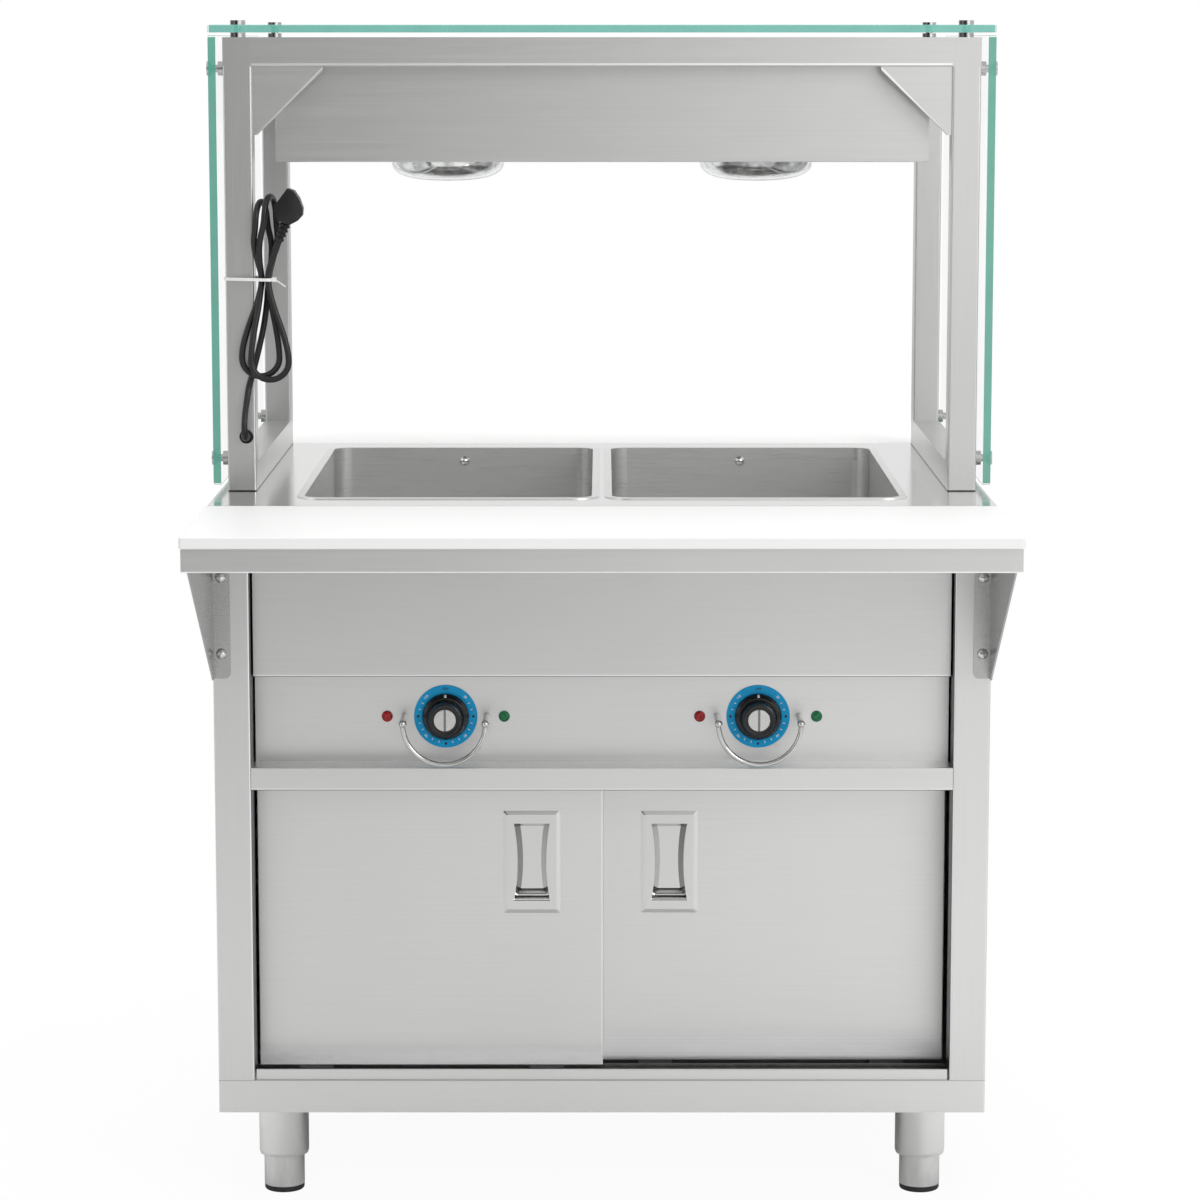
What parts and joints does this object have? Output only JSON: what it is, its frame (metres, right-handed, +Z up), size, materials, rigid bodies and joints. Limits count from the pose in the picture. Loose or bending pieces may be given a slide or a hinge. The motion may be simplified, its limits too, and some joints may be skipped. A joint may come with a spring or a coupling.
{
  "type": "steam table",
  "caption": "Electric steam table with hot food wells, glass sneeze guard, heat lamps, sliding doors and serving boards.",
  "frame": {"origin": "on the floor under the middle of the body", "axes": "+Z up; the control side with the sliding doors faces -Y; +X is to the right as seen from there"},
  "size_m": [0.8254, 1.1456, 1.2385],
  "materials": {
    "steel_panel": "brushed along its length, satin",
    "steel_post": "brushed upright, satin",
    "steel_polished": "polished, mirror-like",
    "steel_plain": "plain mill finish",
    "board": "white, slightly satin",
    "dial": "blue enamel with white marks",
    "black_plastic": "black, satin",
    "cap_metal": "turned, satin",
    "red_lens": "clear red, glossy",
    "green_lens": "clear green, glossy",
    "glide_plastic": "natural nylon",
    "element": "heat-darkened sheath",
    "socket": "white ceramic",
    "lamp": "clear reflector lamp with a mirrored inside",
    "pane": "clear float glass with polished green edges",
    "cord_rubber": "grey-black, dull",
    "plug_black": "moulded, dull",
    "tie_white": "natural nylon"
  },
  "bodies": {
    "cabinet": {"back_panel": "steel_panel", "base_tray": "steel_panel", "bracket_bolts": "steel_polished", "cabinet_posts": "steel_post", "control_panel": "steel_panel", "cord_exit": "cord_rubber", "cord_hank": "cord_rubber", "cord_tie": "tie_white", "countertop": "steel_polished", "dial_rings": "dial", "divider_shelf": "steel_panel", "door_guide_rails": "steel_plain", "front_board": "board", "front_shelf": "steel_panel", "glass_fixings": "steel_polished", "green_lamps": "green_lens", "grommet": "black_plastic", "guard_gussets": "steel_panel", "guard_posts": "steel_post", "guard_rails": "steel_panel", "hanger_track": "steel_plain", "heat_lamps": "lamp", "heat_shields": "steel_plain", "heating_elements": "element", "housing_lid": "steel_panel", "knob_guards": "steel_polished", "lamp_housing": "steel_panel", "lamp_sockets": "socket", "leg_sleeves": "steel_post", "plug": "plug_black", "plug_lead": "cord_rubber", "rear_board": "board", "rear_shelf": "steel_panel", "red_lamps": "red_lens", "roof_glass": "pane", "shelf_brackets": "steel_panel", "side_glass": "pane", "side_panel_left": "steel_panel", "side_panel_right": "steel_panel", "thermostats": "steel_plain", "upper_panel": "steel_panel", "well_left": "steel_polished", "well_right": "steel_polished", "well_screws": "steel_polished"},
    "door_left": {"door_left": "steel_panel", "pull_left": "steel_polished", "glides_left": "glide_plastic"},
    "door_right": {"door_right": "steel_panel", "pull_right": "steel_polished", "glides_right": "glide_plastic"},
    "knob_left": {"knob_left": "black_plastic", "knob_cap_left": "cap_metal", "control_shaft_left": "steel_plain"},
    "knob_right": {"knob_right": "black_plastic", "knob_cap_right": "cap_metal", "control_shaft_right": "steel_plain"},
    "foot_front_left": {"foot_front_left": "steel_plain"},
    "foot_front_right": {"foot_front_right": "steel_plain"},
    "foot_rear_left": {"foot_rear_left": "steel_plain"},
    "foot_rear_right": {"foot_rear_right": "steel_plain"}
  },
  "joints": [
    {"name": "door_left_slide", "type": "slide", "parent": "cabinet", "child": "door_left", "axis": [1, 0, 0], "range_m": [0, 0.36]},
    {"name": "door_right_slide", "type": "slide", "parent": "cabinet", "child": "door_right", "axis": [-1, 0, 0], "range_m": [0, 0.36]},
    {"name": "knob_left_turn", "type": "hinge", "parent": "cabinet", "child": "knob_left", "pos_m": [-0.164, -0.25, 0.5152], "axis": [0, 1, 0], "range_deg": [0, 270]},
    {"name": "knob_right_turn", "type": "hinge", "parent": "cabinet", "child": "knob_right", "pos_m": [0.164, -0.25, 0.5152], "axis": [0, 1, 0], "range_deg": [0, 270]},
    {"name": "foot_front_left_height", "type": "slide", "parent": "cabinet", "child": "foot_front_left", "axis": [0, 0, -1], "range_m": [0, 0.025]},
    {"name": "foot_front_right_height", "type": "slide", "parent": "cabinet", "child": "foot_front_right", "axis": [0, 0, -1], "range_m": [0, 0.025]},
    {"name": "foot_rear_left_height", "type": "slide", "parent": "cabinet", "child": "foot_rear_left", "axis": [0, 0, -1], "range_m": [0, 0.025]},
    {"name": "foot_rear_right_height", "type": "slide", "parent": "cabinet", "child": "foot_rear_right", "axis": [0, 0, -1], "range_m": [0, 0.025]}
  ]
}
